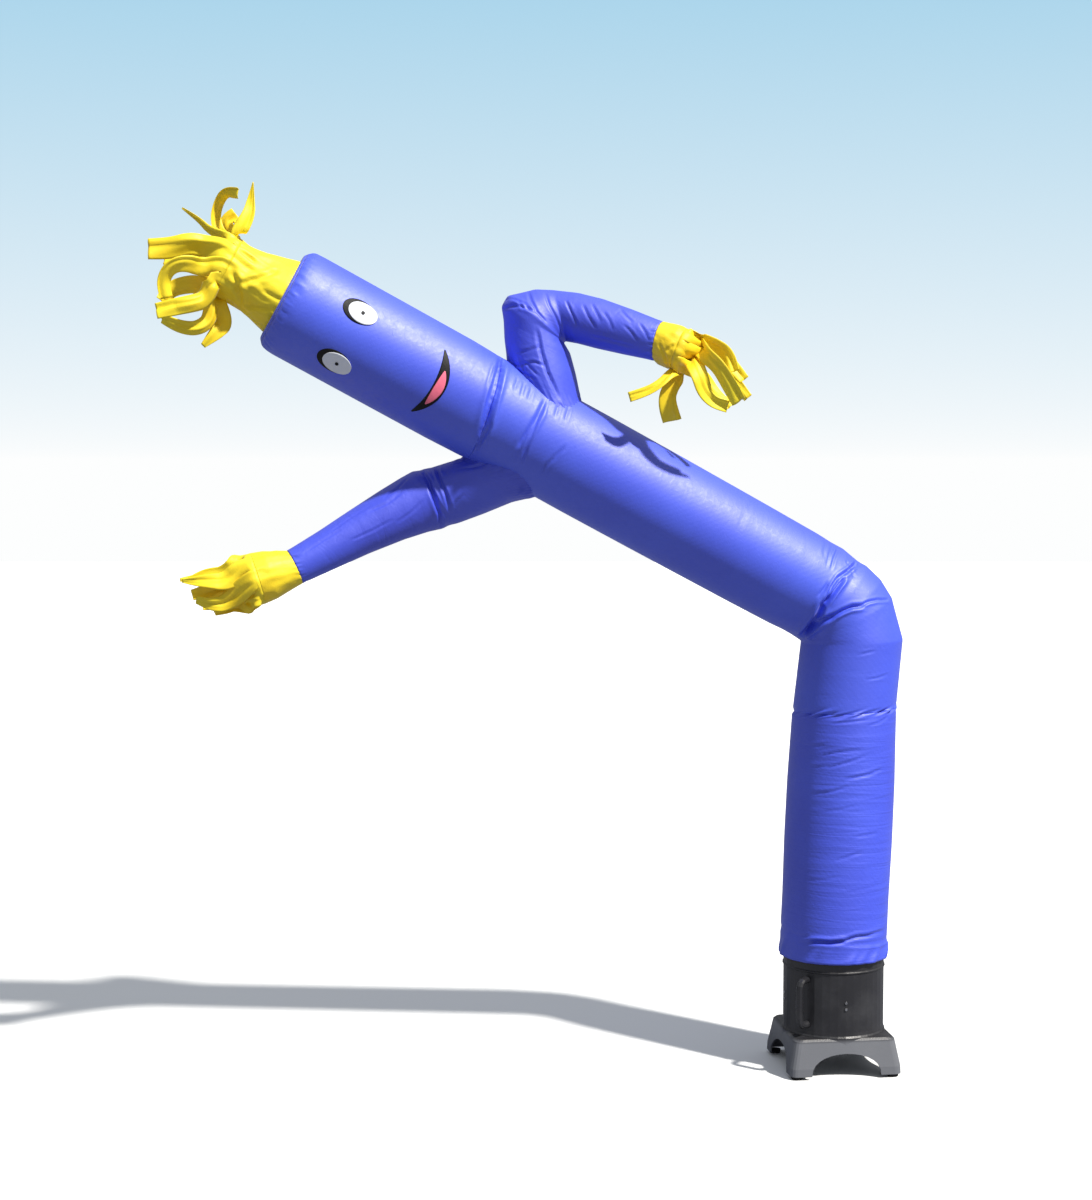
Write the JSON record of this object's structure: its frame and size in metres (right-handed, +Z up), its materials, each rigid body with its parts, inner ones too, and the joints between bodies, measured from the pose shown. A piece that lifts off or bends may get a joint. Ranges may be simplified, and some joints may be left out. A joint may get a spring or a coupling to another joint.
{
  "type": "inflatable air dancer on its blower",
  "caption": "Blown-up cloth tube figure, bent at the waist, with sleeve arms, strip hands and hair and a sewn-on face, over a round floor blower on a four-cornered base.",
  "frame": {"origin": "on the floor, under the middle of the whole figure's bounding box; the blower's axis is 0.845 m to the right of it and 0.130 m behind it", "axes": "+Z up, +X to the right as the face's viewer sees it, +Y away from the face's viewer"},
  "size_m": [2.0695, 0.6138, 2.4928],
  "materials": {
    "blue_cloth": "thin coated nylon, soft sheen",
    "yellow_cloth": "thin coated nylon, soft sheen",
    "black_cloth": "thin sewn-on cloth",
    "white_cloth": "thin sewn-on cloth",
    "red_cloth": "thin sewn-on cloth",
    "black_plastic": "pebbled moulded polyethylene",
    "grey_paint": "satin paint",
    "screw_steel": "bright zinc",
    "black_rubber": "matt"
  },
  "bodies": {
    "root": {"leg_panel": "blue_cloth", "chest_panel": "blue_cloth", "head_panel": "blue_cloth", "crown_panel": "blue_cloth", "arm_upper": "blue_cloth", "arm_lower": "blue_cloth", "hair_sleeve": "yellow_cloth", "hair_strips": "yellow_cloth", "hand_cuff_upper": "yellow_cloth", "hand_cuff_lower": "yellow_cloth", "hand_strips_upper": "yellow_cloth", "hand_strips_lower": "yellow_cloth", "eye_back_upper": "black_cloth", "eye_back_lower": "black_cloth", "eye_white_upper": "white_cloth", "eye_white_lower": "white_cloth", "eye_pupil_upper": "black_cloth", "eye_pupil_lower": "black_cloth", "mouth": "black_cloth", "lip": "red_cloth", "blower_housing": "black_plastic", "rim_collar": "black_plastic", "fan_guard": "black_plastic", "fan_motor": "grey_paint", "handle_front": "black_plastic", "handle_back": "black_plastic", "screw_0_low": "screw_steel", "screw_0_high": "screw_steel", "screw_1_low": "screw_steel", "screw_1_high": "screw_steel", "screw_2_low": "screw_steel", "screw_2_high": "screw_steel", "screw_3_low": "screw_steel", "screw_3_high": "screw_steel", "foot_1": "black_rubber", "foot_2": "black_rubber", "foot_3": "black_rubber", "foot_4": "black_rubber"}
  },
  "joints": []
}
